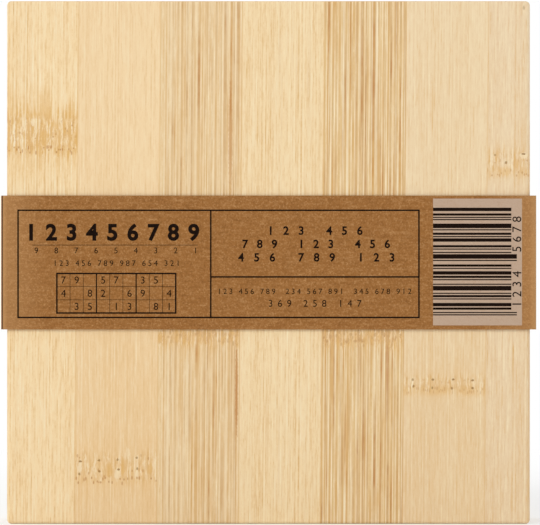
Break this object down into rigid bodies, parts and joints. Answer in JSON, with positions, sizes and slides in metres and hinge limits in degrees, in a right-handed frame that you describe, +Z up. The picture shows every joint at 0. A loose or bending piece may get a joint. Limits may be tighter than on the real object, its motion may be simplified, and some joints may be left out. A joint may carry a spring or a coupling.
{
  "type": "sudoku board",
  "caption": "Square bamboo sudoku board with numbered pegs in a sliding grid board, a puzzle compartment behind it and a folded kraft card sleeve round its middle.",
  "frame": {"origin": "on the ground under the middle of the board, which stands on its foot edge", "axes": "+X to the right seen from the back panel, +Y from the back panel to the play face, +Z up along the bamboo strips"},
  "size_m": [0.156, 0.0334, 0.1524],
  "materials": {
    "back_strip_1": "satin",
    "back_strip_2": "satin",
    "back_strip_3": "satin",
    "back_strip_4": "satin",
    "back_strip_5": "satin",
    "back_strip_6": "satin",
    "back_strip_7": "satin",
    "rail_bamboo": "satin",
    "play_bamboo": "satin",
    "peg_wood": "satin",
    "cover_paper": "matte",
    "page_paper": "matte",
    "staple_wire": "satin",
    "kraft_card": "matte"
  },
  "bodies": {
    "tray": {"back_strip_1": "back_strip_1", "back_strip_2": "back_strip_2", "back_strip_3": "back_strip_3", "back_strip_4": "back_strip_4", "back_strip_5": "back_strip_5", "back_strip_6": "back_strip_6", "back_strip_7": "back_strip_7", "left_rail": "rail_bamboo", "right_rail": "rail_bamboo", "foot_rail": "rail_bamboo", "head_rail": "rail_bamboo"},
    "play_board": {"play_board": "play_bamboo", "pull_rail": "rail_bamboo"},
    "pegs_1": {"pegs_1": "peg_wood"},
    "pegs_2": {"pegs_2": "peg_wood"},
    "pegs_3": {"pegs_3": "peg_wood"},
    "pegs_4": {"pegs_4": "peg_wood"},
    "pegs_5": {"pegs_5": "peg_wood"},
    "pegs_6": {"pegs_6": "peg_wood"},
    "pegs_7": {"pegs_7": "peg_wood"},
    "pegs_8": {"pegs_8": "peg_wood"},
    "pegs_9": {"pegs_9": "peg_wood"},
    "booklet": {"booklet_cover": "cover_paper", "booklet_pages": "page_paper", "booklet_staples": "staple_wire"},
    "sleeve": {"sleeve": "kraft_card"}
  },
  "joints": [
    {"name": "sleeve_slide", "type": "slide", "parent": "tray", "child": "sleeve", "axis": [0, 0, 1], "range_m": [-0.056, 0.098]},
    {"name": "play_board_slide", "type": "slide", "parent": "tray", "child": "play_board", "axis": [0, 0, 1], "range_m": [0, 0.145]},
    {"name": "booklet_lift", "type": "slide", "parent": "tray", "child": "booklet", "axis": [0, 1, 0], "range_m": [0, 0.008]},
    {"name": "pegs_1_pull", "type": "slide", "parent": "play_board", "child": "pegs_1", "axis": [0, 1, 0], "range_m": [0, 0.0046]},
    {"name": "pegs_2_pull", "type": "slide", "parent": "play_board", "child": "pegs_2", "axis": [0, 1, 0], "range_m": [0, 0.0046]},
    {"name": "pegs_3_pull", "type": "slide", "parent": "play_board", "child": "pegs_3", "axis": [0, 1, 0], "range_m": [0, 0.0046]},
    {"name": "pegs_4_pull", "type": "slide", "parent": "play_board", "child": "pegs_4", "axis": [0, 1, 0], "range_m": [0, 0.0046]},
    {"name": "pegs_5_pull", "type": "slide", "parent": "play_board", "child": "pegs_5", "axis": [0, 1, 0], "range_m": [0, 0.0046]},
    {"name": "pegs_6_pull", "type": "slide", "parent": "play_board", "child": "pegs_6", "axis": [0, 1, 0], "range_m": [0, 0.0046]},
    {"name": "pegs_7_pull", "type": "slide", "parent": "play_board", "child": "pegs_7", "axis": [0, 1, 0], "range_m": [0, 0.0046]},
    {"name": "pegs_8_pull", "type": "slide", "parent": "play_board", "child": "pegs_8", "axis": [0, 1, 0], "range_m": [0, 0.0046]},
    {"name": "pegs_9_pull", "type": "slide", "parent": "play_board", "child": "pegs_9", "axis": [0, 1, 0], "range_m": [0, 0.0046]}
  ]
}
